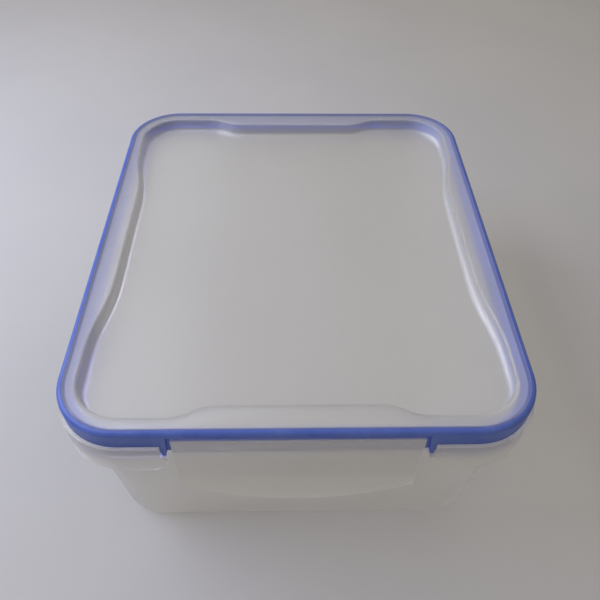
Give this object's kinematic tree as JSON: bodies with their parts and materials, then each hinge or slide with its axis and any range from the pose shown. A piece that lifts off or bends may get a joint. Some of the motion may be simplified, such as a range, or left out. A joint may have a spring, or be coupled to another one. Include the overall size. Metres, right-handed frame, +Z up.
{
  "type": "snap lid food container",
  "caption": "Rectangular translucent food container with a recessed snap lid, coloured rim band and fold-down side latches on living hinges.",
  "frame": {"origin": "centre of the footprint, on the surface the tub stands on", "axes": "+Z up; Y runs along the longer side, with the front latch at -Y; X runs along the shorter side, +X to the right"},
  "size_m": [0.249, 0.288, 0.116],
  "materials": {
    "tub_pp": "frosted translucent",
    "lid_pp": "frosted translucent",
    "latch_pp": "frosted translucent",
    "blue_band": "satin",
    "blue_seal": "matte"
  },
  "bodies": {
    "tub_body": {"tub": "tub_pp"},
    "lid_body": {"lid_shell": "lid_pp", "rim_band": "blue_band", "seal_ring": "blue_seal", "front_hinge_web": "latch_pp", "right_hinge_web": "latch_pp", "back_hinge_web": "latch_pp", "left_hinge_web": "latch_pp"},
    "front_flap": {"front_latch": "latch_pp", "front_latch_hook": "latch_pp"},
    "right_flap": {"right_latch": "latch_pp", "right_latch_hook": "latch_pp"},
    "back_flap": {"back_latch": "latch_pp", "back_latch_hook": "latch_pp"},
    "left_flap": {"left_latch": "latch_pp", "left_latch_hook": "latch_pp"}
  },
  "joints": [
    {"name": "lid_lift", "type": "slide", "parent": "tub_body", "child": "lid_body", "axis": [0, 0, 1], "range_m": [0, 0.15], "deforming": ["front_latch_hook", "right_latch_hook", "back_latch_hook", "left_latch_hook"]},
    {"name": "front_latch_hinge", "type": "hinge", "parent": "lid_body", "child": "front_flap", "pos_m": [0, -0.1369, 0.1089], "axis": [-1, 0, 0], "range_deg": [0, 150]},
    {"name": "right_latch_hinge", "type": "hinge", "parent": "lid_body", "child": "right_flap", "pos_m": [0.1174, 0, 0.1089], "axis": [0, -1, 0], "range_deg": [0, 150]},
    {"name": "back_latch_hinge", "type": "hinge", "parent": "lid_body", "child": "back_flap", "pos_m": [0, 0.1369, 0.1089], "axis": [1, 0, 0], "range_deg": [0, 150]},
    {"name": "left_latch_hinge", "type": "hinge", "parent": "lid_body", "child": "left_flap", "pos_m": [-0.1174, 0, 0.1089], "axis": [0, 1, 0], "range_deg": [0, 150]}
  ]
}
